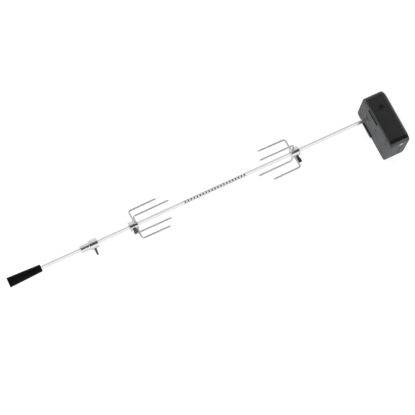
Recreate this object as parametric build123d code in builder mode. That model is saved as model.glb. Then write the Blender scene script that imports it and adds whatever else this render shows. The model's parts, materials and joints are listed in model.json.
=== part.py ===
from build123d import *
import os
from math import acos, atan, ceil, cos, degrees, pi, radians, sin, sqrt, tan

# Battery-driven rotisserie kit, lying on a table: a motor unit on its side, and the square spit that
# plugs into it, with a handle, a bushing collar and two four-prong forks.
# Millimetres. +X runs along the spit towards the motor, +Z is up, z = 0 is the table, and x = y = 0 is
# the middle of the whole kit. "Station" is a distance along +X from the motor's drive face, and "arm
# angle" turns about the spit's axis, from +Y towards +Z.

# ---------------------------------------------------------------- driving dimensions
SPIT_REACH = 1015.0          # drive face to the handle's free end
BAR = 8.0                    # square bar, across flats
BAR_PHASE = 34.0             # arm angle of one flat of the bar
BAR_IN_SOCKET = 31.5         # length of bar inside the spindle
TANG_D, TANG_LENGTH = 6.0, 22.0
TWIST_START, TWIST_QUARTER, TWIST_QUARTERS = -534.0, 8.5, 21
SLIDE_FIT = 0.15             # gap on each side between the bar and the pieces that slide on it

HANDLE_LENGTH, HANDLE_FREE_D, HANDLE_ROD_D, HANDLE_NOSE_R = 89.0, 26.2, 19.2, 2.5
BAR_IN_HANDLE = 14.0
INSERT_D, INSERT_LENGTH = 10.0, 26.0

COLLAR_STATION = -819.0      # the collar's handle-side end
JOURNAL_D, JOURNAL_LENGTH = 19.0, 24.0
COLLAR_D, COLLAR_LENGTH = 26.0, 23.0
COLLAR_SCREW_ANGLE = 214.0

HUB_D, HUB_LENGTH = 25.0, 23.0
PRONG_CIRCLE_R = 44.0
WIRE_D = 5.0
WIRE_BEND_R = 6.0            # at the wire's centre line
PRONG_SPLAY = 0.7            # degrees outwards
PRONG_POINT = 6.0            # length of the conical tip
SHORT_PRONG, LONG_PRONG = 79.5, 98.5           # from the plane of the four wires
WIRE_INSET = 5.5             # that plane, from the hub's prong-side face
SCREW_INSET = 13.3           # thumb screw, from the same face
PRONG_OFFSET = 3.0           # degrees that the prongs stand off the bar's corners
PRONG_SEAT_R = 7.2           # where a prong starts inside the hub
LEFT_HUB, LEFT_SCREW_ANGLE = -661.3, 148.0     # station of the prong-side face
RIGHT_HUB, RIGHT_SCREW_ANGLE = -224.2, 190.0

MOTOR_DEPTH, MOTOR_LENGTH, MOTOR_WIDTH = 62.5, 149.5, 105.0
AXIS_TO_HEAD_END = 39.3      # spit axis to the case's +Y end
CASE_WALL = 2.5
CASE_CORNER_R, REAR_SIDE_R, REAR_END_R, FRONT_EDGE_R = 9.0, 15.0, 10.0, 2.2
SEAM = 5.0                   # station of the joint between front and rear housing
CAP_LINE, SEAL_LINE = -103.2, -94.5            # y from the spit axis
SEAM_GAP = 0.12

SPINDLE_D, SPINDLE_END = 16.0, 36.5
SOCKET_DEPTH = 33.0
SPINDLE_PROUD = 1.5
RUNNING_FIT = 0.05

PRESSURE = radians(25)       # stub gear teeth
ADDENDUM, DEDENDUM, TOOTH_BACKLASH = 0.8, 1.05, 0.14
FLANK_STEPS = 3
COARSE, FINE = 1.0, 0.8      # gear modules
OUTPUT_TEETH, PINION_TEETH, FIRST_TEETH, SECOND_TEETH = 48, 12, 40, 36
AXLE_D = 3.0
FRONT_PLATE, REAR_PLATE, PLATE_T = 5.0, 33.0, 1.5
COARSE_LAYER, FIRST_LAYER, SECOND_LAYER = 8.0, 15.5, 38.0    # stations where the gear faces start
FIRST_GEAR_ANGLE, SECOND_GEAR_ANGLE, MOTOR_ANGLE = 78.5, 164.4, 166.0
MOTOR_CAN_D = 24.0

CELL_D, CELL_LENGTH, CELL_NUB_D, CELL_NUB = 33.2, 59.8, 9.5, 1.6
CELL_STATION, CELL_START = 29.5, -33.3
CELL_Z = (-26.0, 9.0)        # from the spit axis
CRADLE_TOP = 27.0

SWITCH_STATION, SWITCH_Y = 31.2, -2.0
SWITCH_D, SWITCH_DEPTH, SWITCH_BEZEL_D, SWITCH_BEZEL = 12.4, 13.0, 14.4, 1.2
ROCKER_TILT, ROCKER_LENGTH, ROCKER_WIDTH = 7.0, 8.6, 8.0

RAIL_LENGTH, RAIL_MIDDLE, RAIL_INSET = 45.0, -17.0, 8.5
RAIL_WIDTH, RAIL_FOOT, RAIL_PROUD, RAIL_LIP = 8.5, 3.2, 3.6, 1.3
CASE_SCREWS = ((27.0, -38.5), (27.0, 49.5), (-86.0, 49.5))     # y, z from the spit axis
CRADLE_SCREWS = ((-43.4, 17.0), (-90.0, -26.0), (-90.0, 32.0))
POSTS = ((24.0, -24.0), (-19.0, -27.5), (27.0, 22.0), (-19.0, 48.0))
CAP_SCREW_STATION, CAP_SCREW_Z = 34.0, 43.0

# ---------------------------------------------------------------- derived places
PRONG_REACH = (
    (PRONG_CIRCLE_R + (LONG_PRONG - PRONG_POINT) * tan(radians(PRONG_SPLAY)))
    * cos(radians(BAR_PHASE - 45 + PRONG_OFFSET)) + WIRE_D / 2
)
ROD_HEIGHT = PRONG_REACH + 0.2
AXIS_Y = (MOTOR_LENGTH - AXIS_TO_HEAD_END - PRONG_REACH) / 2
DRIVE_X = (SPIT_REACH - MOTOR_DEPTH) / 2
CASE_Y = AXIS_TO_HEAD_END - MOTOR_LENGTH / 2        # case centre, from the spit axis
CASE_Z = MOTOR_WIDTH / 2 - ROD_HEIGHT
HANDLE_STATION = -SPIT_REACH
HANDLE_END = HANDLE_STATION + HANDLE_LENGTH
TWIST_LENGTH = TWIST_QUARTER * TWIST_QUARTERS
HOLE = BAR + 2 * SLIDE_FIT


def across(station, y=0.0, z=0.0):
    """Plane square to the spit at a station, its origin y and z from the spit's axis."""
    return Plane((DRIVE_X + station, AXIS_Y + y, ROD_HEIGHT + z), x_dir=(0, 1, 0), z_dir=(1, 0, 0))


def endwise(y, station=0.0, z=0.0):
    """Plane square to Y, local x along the spit and local y downwards."""
    return Plane((DRIVE_X + station, AXIS_Y + y, ROD_HEIGHT + z), x_dir=(1, 0, 0), z_dir=(0, 1, 0))


def upright(z, station=0.0, y=0.0):
    """Plane square to Z, local x along the spit and local y along Y."""
    return Plane((DRIVE_X + station, AXIS_Y + y, ROD_HEIGHT + z), x_dir=(1, 0, 0), z_dir=(0, 0, 1))


def outward(station, angle, r=0.0, spin=0.0):
    """Plane at radius r from the spit's axis, facing outwards along an arm angle."""
    a = radians(angle)
    out = Vector(0, cos(a), sin(a))
    origin = Vector(DRIVE_X + station, AXIS_Y, ROD_HEIGHT) + out * r
    return Plane(origin, x_dir=Vector(1, 0, 0).rotate(Axis((0, 0, 0), out), spin), z_dir=out)


def save(piece, name):
    piece.part.label = name
    export_step(piece.part, f"parts/{name}.step")


os.makedirs("parts", exist_ok=True)

# ---------------------------------------------------------------- spit rod and handle
TWIST_PLANE = across(TWIST_START)
with BuildSketch(TWIST_PLANE) as twist_section:
    Rectangle(BAR, BAR, rotation=BAR_PHASE)
twist = Solid.extrude_linear_with_rotation(
    twist_section.sketch.faces()[0], TWIST_PLANE.origin, Vector(TWIST_LENGTH, 0, 0), 90 * TWIST_QUARTERS
)

with BuildPart() as spit_rod:
    add(twist)
    with BuildSketch(across(TWIST_START)):
        Rectangle(BAR, BAR, rotation=BAR_PHASE)
    extrude(amount=HANDLE_END - BAR_IN_HANDLE - TWIST_START)
    with BuildSketch(across(TWIST_START + TWIST_LENGTH)):
        Rectangle(BAR, BAR, rotation=BAR_PHASE)
    extrude(amount=BAR_IN_SOCKET - TWIST_START - TWIST_LENGTH)
    chamfer(faces().sort_by(Axis.X)[-1].edges(), 1.2)
    with BuildSketch(across(HANDLE_END - BAR_IN_HANDLE - TANG_LENGTH)):
        Circle(TANG_D / 2)
    extrude(amount=TANG_LENGTH)
save(spit_rod, "spit_rod")

with BuildPart() as handle_grip:
    with BuildSketch(endwise(0)) as handle_profile:
        with BuildLine():
            free, rod_end = HANDLE_STATION, HANDLE_END
            wall = Polyline(
                (free, 0), (free, HANDLE_FREE_D / 2 - 0.8), (free + 0.8, HANDLE_FREE_D / 2),
                (rod_end - HANDLE_NOSE_R, HANDLE_ROD_D / 2),
            )
            nose = RadiusArc(wall @ 1, (rod_end, HANDLE_ROD_D / 2 - HANDLE_NOSE_R), HANDLE_NOSE_R)
            Polyline(nose @ 1, (rod_end, 0), (free, 0))
        make_face()
    revolve(axis=Axis(across(0).origin, (1, 0, 0)))
    with BuildSketch(across(HANDLE_END)):
        Rectangle(BAR, BAR, rotation=BAR_PHASE)
    extrude(amount=-BAR_IN_HANDLE, mode=Mode.SUBTRACT)
    with BuildSketch(across(HANDLE_END - BAR_IN_HANDLE)):
        Circle(INSERT_D / 2)
    extrude(amount=-INSERT_LENGTH, mode=Mode.SUBTRACT)
save(handle_grip, "handle_grip")

with BuildPart() as handle_insert:
    with BuildSketch(across(HANDLE_END - BAR_IN_HANDLE)):
        Circle(INSERT_D / 2)
    extrude(amount=-INSERT_LENGTH)
    with BuildSketch(across(HANDLE_END - BAR_IN_HANDLE)):
        Circle(TANG_D / 2)
    extrude(amount=-TANG_LENGTH, mode=Mode.SUBTRACT)
    for groove in (-8.0, -17.0):
        with BuildSketch(across(HANDLE_END - BAR_IN_HANDLE + groove)):
            Circle(INSERT_D / 2)
            Circle(INSERT_D / 2 - 0.7, mode=Mode.SUBTRACT)
        extrude(amount=1.4, mode=Mode.SUBTRACT)
save(handle_insert, "handle_insert")


# ---------------------------------------------------------------- thumb screws
SCREW_D, SCREW_NECK_D, SCREW_NECK, TIP_GAP = 5.8, 8.6, 2.2, 0.1
PADDLE_HEIGHT = 17.5


def bearing(angle):
    """Distance from the spit's axis at which a screw at an arm angle meets the bar, on a flat or a corner."""
    from_corner = radians(45 - abs((angle - BAR_PHASE + 45) % 90 - 45))
    corner_r = BAR / sqrt(2)
    return corner_r * cos(from_corner) if corner_r * sin(from_corner) < SCREW_D / 2 else BAR / 2


def thumb_screw(station, angle, seat_r, spin):
    """Spade-headed screw that clamps on the bar: shaft, round neck and tapered paddle."""
    tip = bearing(angle) + TIP_GAP
    neck = seat_r + 0.5
    with BuildPart() as screw:
        with BuildSketch(outward(station, angle, tip)):
            Circle(SCREW_D / 2)
        extrude(amount=neck - tip)
        with BuildSketch(outward(station, angle, neck)):
            Circle(SCREW_NECK_D / 2)
        extrude(amount=SCREW_NECK, taper=12)
        with BuildSketch(outward(station, angle, neck + SCREW_NECK - 0.6, spin)):
            RectangleRounded(6.4, 6.4, 2.4)
        with BuildSketch(outward(station, angle, neck + PADDLE_HEIGHT * 0.55, spin)):
            RectangleRounded(12.0, 4.8, 2.0)
        with BuildSketch(outward(station, angle, neck + PADDLE_HEIGHT, spin)):
            RectangleRounded(10.6, 3.4, 1.5)
        loft(ruled=False)
    return screw


# ---------------------------------------------------------------- bushing collar
with BuildPart() as bushing_collar:
    with BuildSketch(across(COLLAR_STATION)):
        Circle(JOURNAL_D / 2)
    extrude(amount=JOURNAL_LENGTH)
    chamfer(faces().sort_by(Axis.X)[0].edges(), 1.0)
    with BuildSketch(across(COLLAR_STATION + JOURNAL_LENGTH)):
        Circle(COLLAR_D / 2)
    extrude(amount=COLLAR_LENGTH)
    chamfer(faces().filter_by(Axis.X).sort_by(Axis.X)[-1].edges(), 1.0)
    with BuildSketch(across(COLLAR_STATION + JOURNAL_LENGTH / 2)):
        Circle(JOURNAL_D / 2)
        Circle(JOURNAL_D / 2 - 0.6, mode=Mode.SUBTRACT)
    extrude(amount=1.5, mode=Mode.SUBTRACT)
    with BuildSketch(across(COLLAR_STATION)):
        Rectangle(HOLE, HOLE, rotation=BAR_PHASE)
    extrude(amount=JOURNAL_LENGTH + COLLAR_LENGTH, mode=Mode.SUBTRACT)
    with BuildSketch(outward(COLLAR_STATION + JOURNAL_LENGTH + COLLAR_LENGTH * 0.5, COLLAR_SCREW_ANGLE)):
        Circle(SCREW_D / 2 + RUNNING_FIT)
    extrude(amount=COLLAR_D, mode=Mode.SUBTRACT)
save(bushing_collar, "bushing_collar")
save(
    thumb_screw(
        COLLAR_STATION + JOURNAL_LENGTH + COLLAR_LENGTH * 0.5, COLLAR_SCREW_ANGLE, COLLAR_D / 2, 80
    ),
    "collar_thumb_screw",
)


# ---------------------------------------------------------------- forks
def prong(hub_face, facing, angle, length):
    """One pointed prong: out of the hub, round a bend and along the spit."""
    station = hub_face - facing * WIRE_INSET
    a = radians(angle)
    out = Vector(0, cos(a), sin(a))
    origin = Vector(DRIVE_X + station, AXIS_Y, ROD_HEIGHT)
    along = Vector(facing, 0, 0)
    shank = length - PRONG_POINT
    spread = tan(radians(PRONG_SPLAY))
    with BuildPart() as wire:
        with BuildLine(Plane(origin, x_dir=along, z_dir=along.cross(out))) as route:
            FilletPolyline(
                (0, PRONG_SEAT_R), (0, PRONG_CIRCLE_R), (shank, PRONG_CIRCLE_R + shank * spread),
                radius=WIRE_BEND_R,
            )
        with BuildSketch(Plane(origin + out * PRONG_SEAT_R, x_dir=(1, 0, 0), z_dir=out)):
            Circle(WIRE_D / 2)
        sweep(path=route.line)
        end = route.line @ 1
        with BuildSketch(Plane(end, x_dir=out, z_dir=route.line % 1)):
            Circle(WIRE_D / 2)
        extrude(amount=PRONG_POINT, taper=degrees(atan((WIRE_D / 2 - 0.45) / PRONG_POINT)))
    return wire.part


def fork(name, hub_face, facing, screw_angle, screw_spin):
    """Hub, long and short prongs, and thumb screw. Facing is +1 when the prongs point along +X."""
    first = BAR_PHASE - 45 - facing * PRONG_OFFSET
    short_angles, long_angles = (first, first + 180), (first + 90, first + 270)
    with BuildPart() as hub:
        with BuildSketch(across(hub_face)):
            Circle(HUB_D / 2)
        extrude(amount=-facing * HUB_LENGTH)
        chamfer(faces().filter_by(Axis.X).edges(), 1.0)
        with BuildSketch(across(hub_face)):
            Rectangle(HOLE, HOLE, rotation=BAR_PHASE)
        extrude(amount=-facing * HUB_LENGTH, mode=Mode.SUBTRACT)
        for angle in short_angles + long_angles:
            with BuildSketch(outward(hub_face - facing * WIRE_INSET, angle, PRONG_SEAT_R)):
                Circle(WIRE_D / 2)
            extrude(amount=HUB_D, mode=Mode.SUBTRACT)
        with BuildSketch(outward(hub_face - facing * SCREW_INSET, screw_angle)):
            Circle(SCREW_D / 2 + RUNNING_FIT)
        extrude(amount=HUB_D, mode=Mode.SUBTRACT)
    save(hub, f"{name}_fork_hub")
    for size, length, angles in (("short", SHORT_PRONG, short_angles), ("long", LONG_PRONG, long_angles)):
        with BuildPart() as pair:
            for angle in angles:
                add(prong(hub_face, facing, angle, length))
        save(pair, f"{name}_fork_{size}_prongs")
    screw = thumb_screw(hub_face - facing * SCREW_INSET, screw_angle, HUB_D / 2, screw_spin)
    save(screw, f"{name}_fork_thumb_screw")


fork("left", LEFT_HUB, 1, LEFT_SCREW_ANGLE, 35)
fork("right", RIGHT_HUB, -1, RIGHT_SCREW_ANGLE, 20)


# ---------------------------------------------------------------- motor case
def case_block(inset):
    """The case's whole outside, or that shape drawn in by inset on every side."""
    depth, length, width = MOTOR_DEPTH - 2 * inset, MOTOR_LENGTH - 2 * inset, MOTOR_WIDTH - 2 * inset
    with BuildPart() as block:
        with BuildSketch(across(inset, CASE_Y, CASE_Z)):
            RectangleRounded(length, width, CASE_CORNER_R - inset)
        extrude(amount=depth)
        with BuildSketch(endwise(CASE_Y - length / 2, MOTOR_DEPTH / 2, CASE_Z)):
            Rectangle(depth, width)
            fillet(vertices().group_by(Axis.X)[-1], REAR_SIDE_R - inset)
        extrude(amount=length, mode=Mode.INTERSECT)
        with BuildSketch(upright(CASE_Z - width / 2, MOTOR_DEPTH / 2, CASE_Y)):
            Rectangle(depth, length)
            fillet(vertices().group_by(Axis.X)[-1], REAR_END_R - inset)
        extrude(amount=width, mode=Mode.INTERSECT)
    return block.part


CASE_OUTSIDE = case_block(0)
CASE_INSIDE = case_block(CASE_WALL)
FRONT_SIDE = split(CASE_OUTSIDE, bisect_by=across(SEAM), keep=Keep.BOTTOM)
REAR_SIDE = split(CASE_OUTSIDE, bisect_by=across(SEAM + SEAM_GAP), keep=Keep.TOP)
BUSH_D, BUSH_FLANGE_D, BUSH_FLANGE = 20.0, 23.0, 1.0
FRONT_BORE = SPINDLE_D / 2 + RUNNING_FIT
SCREW_HEAD_D, SCREW_HEAD, SCREW_SHANK_D, CASE_SCREW_LENGTH = 6.4, 1.6, 2.9, 10.0

with BuildPart() as front_housing:
    add(FRONT_SIDE)
    fillet(faces().sort_by(Axis.X)[0].edges(), FRONT_EDGE_R)
    add(CASE_INSIDE, mode=Mode.SUBTRACT)
    with BuildSketch(across(CASE_WALL)):
        with Locations((22.0, 0), (-8.0, -26.0)):
            Circle(3.0)
    extrude(amount=FRONT_PLATE - CASE_WALL)
    with BuildSketch(across(0)):
        Circle(BUSH_D / 2)
    extrude(amount=CASE_WALL, mode=Mode.SUBTRACT)
    with BuildSketch(across(0)):
        with Locations(*CASE_SCREWS, *CRADLE_SCREWS):
            Circle(SCREW_SHANK_D / 2 + 0.15)
    extrude(amount=CASE_WALL, mode=Mode.SUBTRACT)
    with BuildSketch(across(0)):
        with Locations(*CASE_SCREWS, *CRADLE_SCREWS):
            Circle(SCREW_HEAD_D / 2 + 0.3)
    extrude(amount=1.0, mode=Mode.SUBTRACT)
save(front_housing, "front_housing")

COLUMN_D = 8.0
REAR_WALL = MOTOR_DEPTH - CASE_WALL
BOSS_D, BOSS_STATION, BOSS_BORE = 7.0, 45.5, 3.5     # boss that carries the second gear's axle
first_axle = (
    (OUTPUT_TEETH + PINION_TEETH) * COARSE / 2 * cos(radians(FIRST_GEAR_ANGLE)),
    (OUTPUT_TEETH + PINION_TEETH) * COARSE / 2 * sin(radians(FIRST_GEAR_ANGLE)),
)
second_axle = (
    first_axle[0] + (FIRST_TEETH + PINION_TEETH) * FINE / 2 * cos(radians(SECOND_GEAR_ANGLE)),
    first_axle[1] + (FIRST_TEETH + PINION_TEETH) * FINE / 2 * sin(radians(SECOND_GEAR_ANGLE)),
)
motor_axis = (
    second_axle[0] + (SECOND_TEETH + PINION_TEETH) * FINE / 2 * cos(radians(MOTOR_ANGLE)),
    second_axle[1] + (SECOND_TEETH + PINION_TEETH) * FINE / 2 * sin(radians(MOTOR_ANGLE)),
)
SWITCH_PLANE_Z = MOTOR_WIDTH - ROD_HEIGHT

with BuildPart() as rear_housing:
    add(split(REAR_SIDE, bisect_by=endwise(SEAL_LINE), keep=Keep.TOP))
    add(CASE_INSIDE, mode=Mode.SUBTRACT)
    with BuildSketch(across(REAR_WALL)):
        with Locations(*CASE_SCREWS):
            Circle(COLUMN_D / 2)
    extrude(amount=SEAM + SEAM_GAP - REAR_WALL)
    with BuildSketch(across(SEAM + SEAM_GAP)):
        with Locations(*CASE_SCREWS):
            Circle(SCREW_SHANK_D / 2)
    extrude(amount=12.0, mode=Mode.SUBTRACT)
    with BuildSketch(across(REAR_WALL)):
        with Locations(second_axle):
            Circle(BOSS_D / 2)
    extrude(amount=BOSS_STATION - REAR_WALL)
    with BuildSketch(across(BOSS_STATION)):
        with Locations(second_axle):
            Circle(AXLE_D / 2 + 0.02)
    extrude(amount=BOSS_BORE, mode=Mode.SUBTRACT)
    with BuildSketch(upright(SWITCH_PLANE_Z, SWITCH_STATION, SWITCH_Y)):
        Circle(SWITCH_D / 2 + 0.1)
    extrude(amount=-CASE_WALL, mode=Mode.SUBTRACT)
save(rear_housing, "rear_housing")

SEAL_SUNK, SEAL_DEEP = 1.3, 4.0
with BuildPart() as cap_seal:
    add(case_block(SEAL_SUNK))
    add(case_block(SEAL_DEEP), mode=Mode.SUBTRACT)
    split(bisect_by=across(SEAM + SEAM_GAP), keep=Keep.TOP)
    split(bisect_by=endwise(SEAL_LINE - SEAM_GAP), keep=Keep.BOTTOM)
    split(bisect_by=endwise(CAP_LINE + SEAM_GAP), keep=Keep.TOP)
save(cap_seal, "cap_seal")

CAP_SCREW_HEAD_D, CAP_SCREW_D = 11.0, 5.0
CAP_END = AXIS_TO_HEAD_END - MOTOR_LENGTH
with BuildPart() as battery_cap:
    add(split(REAR_SIDE, bisect_by=endwise(CAP_LINE), keep=Keep.BOTTOM))
    with BuildSketch(endwise(CAP_LINE, MOTOR_DEPTH / 2 + SEAM / 2, CASE_Z)):
        Rectangle(MOTOR_DEPTH - SEAM - 8.0, MOTOR_WIDTH - 10.0)
    extrude(amount=-1.6, mode=Mode.SUBTRACT)
    with BuildSketch(endwise(CAP_END, CAP_SCREW_STATION, CAP_SCREW_Z)):
        Circle(CAP_SCREW_HEAD_D / 2 + 0.3)
    extrude(amount=1.6, mode=Mode.SUBTRACT)
    with BuildSketch(endwise(CAP_END, CAP_SCREW_STATION, CAP_SCREW_Z)):
        Circle(CAP_SCREW_D / 2 + RUNNING_FIT)
    extrude(amount=MOTOR_LENGTH, mode=Mode.SUBTRACT)
    with BuildSketch(endwise(CAP_END, (MOTOR_DEPTH + SEAM) / 2, -CASE_Z - 6.0)):
        SlotCenterToCenter(26.0, 9.0, rotation=90)
    extrude(amount=1.1, mode=Mode.SUBTRACT)
save(battery_cap, "battery_cap")

with BuildPart() as cap_screw:
    with BuildSketch(endwise(CAP_END + 1.6, CAP_SCREW_STATION, CAP_SCREW_Z)):
        Circle(CAP_SCREW_HEAD_D / 2)
    extrude(amount=-1.4)
    with BuildSketch(endwise(CAP_END + 1.6, CAP_SCREW_STATION, CAP_SCREW_Z)):
        Circle(CAP_SCREW_D / 2)
    extrude(amount=7.0)
    with BuildSketch(endwise(CAP_END + 0.2, CAP_SCREW_STATION, CAP_SCREW_Z)):
        Rectangle(CAP_SCREW_HEAD_D, 1.5, rotation=25)
    extrude(amount=0.8, mode=Mode.SUBTRACT)
    with BuildSketch(endwise(CAP_END + 6.6, CAP_SCREW_STATION, CAP_SCREW_Z)):
        Rectangle(9.0, 3.0, rotation=25)
    extrude(amount=2.0)
save(cap_screw, "cap_screw")

with BuildPart() as case_screws:
    for y, z in CASE_SCREWS + CRADLE_SCREWS:
        with BuildSketch(across(1.0, y, z)):
            Circle(SCREW_HEAD_D / 2)
        extrude(amount=-SCREW_HEAD)
        with BuildSketch(across(1.0 - SCREW_HEAD, y, z)):
            Rectangle(4.4, 1.0, rotation=20 + 3 * y)
            Rectangle(1.0, 4.4, rotation=20 + 3 * y)
        extrude(amount=1.0, mode=Mode.SUBTRACT)
        with BuildSketch(across(1.0, y, z)):
            Circle(SCREW_SHANK_D / 2 - 0.05)
        extrude(amount=CASE_SCREW_LENGTH)
save(case_screws, "case_screws")

with BuildPart() as bracket_rails:
    for side in (-1, 1):
        middle = CASE_Z + side * (MOTOR_WIDTH / 2 - RAIL_INSET)
        with BuildSketch(endwise(RAIL_MIDDLE - RAIL_LENGTH / 2, 0, middle)):
            with Locations((-RAIL_PROUD / 2, -side * (RAIL_WIDTH - RAIL_FOOT) / 2)):
                Rectangle(RAIL_PROUD, RAIL_FOOT)
            with Locations((RAIL_LIP / 2 - RAIL_PROUD, 0)):
                Rectangle(RAIL_LIP, RAIL_WIDTH)
        extrude(amount=RAIL_LENGTH)
save(bracket_rails, "bracket_rails")


# ---------------------------------------------------------------- gears
def involute(angle):
    return tan(angle) - angle


def gear_outline(teeth, module, turned):
    """Corner points of a stub-tooth involute gear that has a tooth centred at angle turned, in degrees."""
    pitch_r = teeth * module / 2
    base_r = pitch_r * cos(PRESSURE)
    tip_r = pitch_r + ADDENDUM * module
    root_r = pitch_r - DEDENDUM * module
    half_tooth = (pi * module / 2 - TOOTH_BACKLASH) / (2 * pitch_r) + involute(PRESSURE)
    start_r = max(base_r, root_r)
    radii = [start_r + (tip_r - start_r) * step / FLANK_STEPS for step in range(FLANK_STEPS + 1)]
    flank = [(r, half_tooth - involute(acos(min(1, base_r / r)))) for r in radii]
    if root_r < start_r:
        flank.insert(0, (root_r, flank[0][1]))
    tooth = [(r, -angle) for r, angle in flank] + [(r, angle) for r, angle in reversed(flank)]
    corners = []
    for index in range(teeth):
        middle = radians(turned) + 2 * pi * index / teeth
        corners += [(r * cos(middle + angle), r * sin(middle + angle)) for r, angle in tooth]
    return corners


def meshed(line_angle, driver_teeth, driver_turned, teeth):
    """Angle to turn a gear to, so that it meshes with a driver that lies at the other end of line_angle."""
    driver_part = (line_angle - driver_turned) * driver_teeth / 360
    return line_angle + 180 - (0.5 - driver_part) * 360 / teeth


def gear(plane, teeth, module, turned, face):
    """Toothed disc on a plane, as a solid to add to a part."""
    with BuildPart() as disc:
        with BuildSketch(plane):
            with BuildLine():
                Polyline(*gear_outline(teeth, module, turned), close=True)
            make_face()
        extrude(amount=face)
    return disc.part


FIRST_TURNED = meshed(FIRST_GEAR_ANGLE, OUTPUT_TEETH, 0, PINION_TEETH)
SECOND_TURNED = meshed(SECOND_GEAR_ANGLE, FIRST_TEETH, 0, PINION_TEETH)
MOTOR_TURNED = meshed(MOTOR_ANGLE, SECOND_TEETH, 0, PINION_TEETH)
GEAR_BORE_R = AXLE_D / 2 + RUNNING_FIT
SPINDLE_FLAT = 14.0

with BuildPart() as drive_spindle:
    with BuildSketch(across(-SPINDLE_PROUD)):
        Circle(SPINDLE_D / 2)
    extrude(amount=SPINDLE_PROUD + COARSE_LAYER)
    with BuildSketch(across(COARSE_LAYER)):
        Circle(SPINDLE_D / 2)
        Rectangle(SPINDLE_D, SPINDLE_FLAT, mode=Mode.INTERSECT)
    extrude(amount=6.5)
    with BuildSketch(across(COARSE_LAYER + 6.5)):
        Circle(6.6)
    extrude(amount=1.0)
    with BuildSketch(across(COARSE_LAYER + 7.5)):
        Circle(7.0)
    extrude(amount=REAR_PLATE - 2.0 - COARSE_LAYER - 7.5)
    with BuildSketch(across(REAR_PLATE - 2.0)):
        Circle(6.4)
    extrude(amount=SPINDLE_END - REAR_PLATE + 2.0)
    with BuildSketch(across(-SPINDLE_PROUD)):
        Rectangle(HOLE, HOLE, rotation=BAR_PHASE)
    extrude(amount=SPINDLE_PROUD + SOCKET_DEPTH, mode=Mode.SUBTRACT)
save(drive_spindle, "drive_spindle")

with BuildPart() as output_gear:
    add(gear(across(COARSE_LAYER), OUTPUT_TEETH, COARSE, 0, 6.0))
    with BuildSketch(across(COARSE_LAYER)):
        Circle(SPINDLE_D / 2)
        Rectangle(SPINDLE_D, SPINDLE_FLAT, mode=Mode.INTERSECT)
    extrude(amount=6.0, mode=Mode.SUBTRACT)
    with BuildSketch(across(COARSE_LAYER)):
        with PolarLocations(15.5, 6):
            Circle(3.6)
    extrude(amount=6.0, mode=Mode.SUBTRACT)
save(output_gear, "output_gear")

with BuildPart() as spindle_circlip:
    with BuildSketch(across(COARSE_LAYER + 6.5)):
        Circle(9.6)
        Circle(6.6, mode=Mode.SUBTRACT)
        with Locations((9.0, 0)):
            Rectangle(8.0, 4.0, mode=Mode.SUBTRACT)
    extrude(amount=1.0)
save(spindle_circlip, "spindle_circlip")

with BuildPart() as first_compound_gear:
    add(gear(across(COARSE_LAYER, *first_axle), PINION_TEETH, COARSE, FIRST_TURNED, 6.5))
    add(gear(across(FIRST_LAYER, *first_axle), FIRST_TEETH, FINE, 0, 5.0))
    with BuildSketch(across(COARSE_LAYER + 6.5, *first_axle)):
        Circle(5.0)
    extrude(amount=REAR_PLATE - 0.6 - COARSE_LAYER - 6.5)
    with BuildSketch(across(FRONT_PLATE, *first_axle)):
        Circle(GEAR_BORE_R)
    extrude(amount=REAR_PLATE, mode=Mode.SUBTRACT)
save(first_compound_gear, "first_compound_gear")

with BuildPart() as second_compound_gear:
    add(gear(across(FIRST_LAYER - 0.5, *second_axle), PINION_TEETH, FINE, SECOND_TURNED, 6.0))
    with BuildSketch(across(FRONT_PLATE + PLATE_T + 0.5, *second_axle)):
        Circle(3.4)
    extrude(amount=SECOND_LAYER - FRONT_PLATE - PLATE_T - 0.5)
    add(gear(across(SECOND_LAYER, *second_axle), SECOND_TEETH, FINE, 0, 5.0))
    with BuildSketch(across(FRONT_PLATE, *second_axle)):
        Circle(GEAR_BORE_R)
    extrude(amount=MOTOR_DEPTH, mode=Mode.SUBTRACT)
save(second_compound_gear, "second_compound_gear")

SHAFT_D, NOSE_BORE = 2.0, 6.0
with BuildPart() as motor_pinion:
    add(gear(across(SECOND_LAYER - 0.5, *motor_axis), PINION_TEETH, FINE, MOTOR_TURNED, 6.0))
    with BuildSketch(across(REAR_PLATE - NOSE_BORE + 0.5, *motor_axis)):
        Circle(SHAFT_D / 2)
    extrude(amount=SECOND_LAYER - REAR_PLATE + NOSE_BORE)
save(motor_pinion, "motor_pinion")

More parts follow.
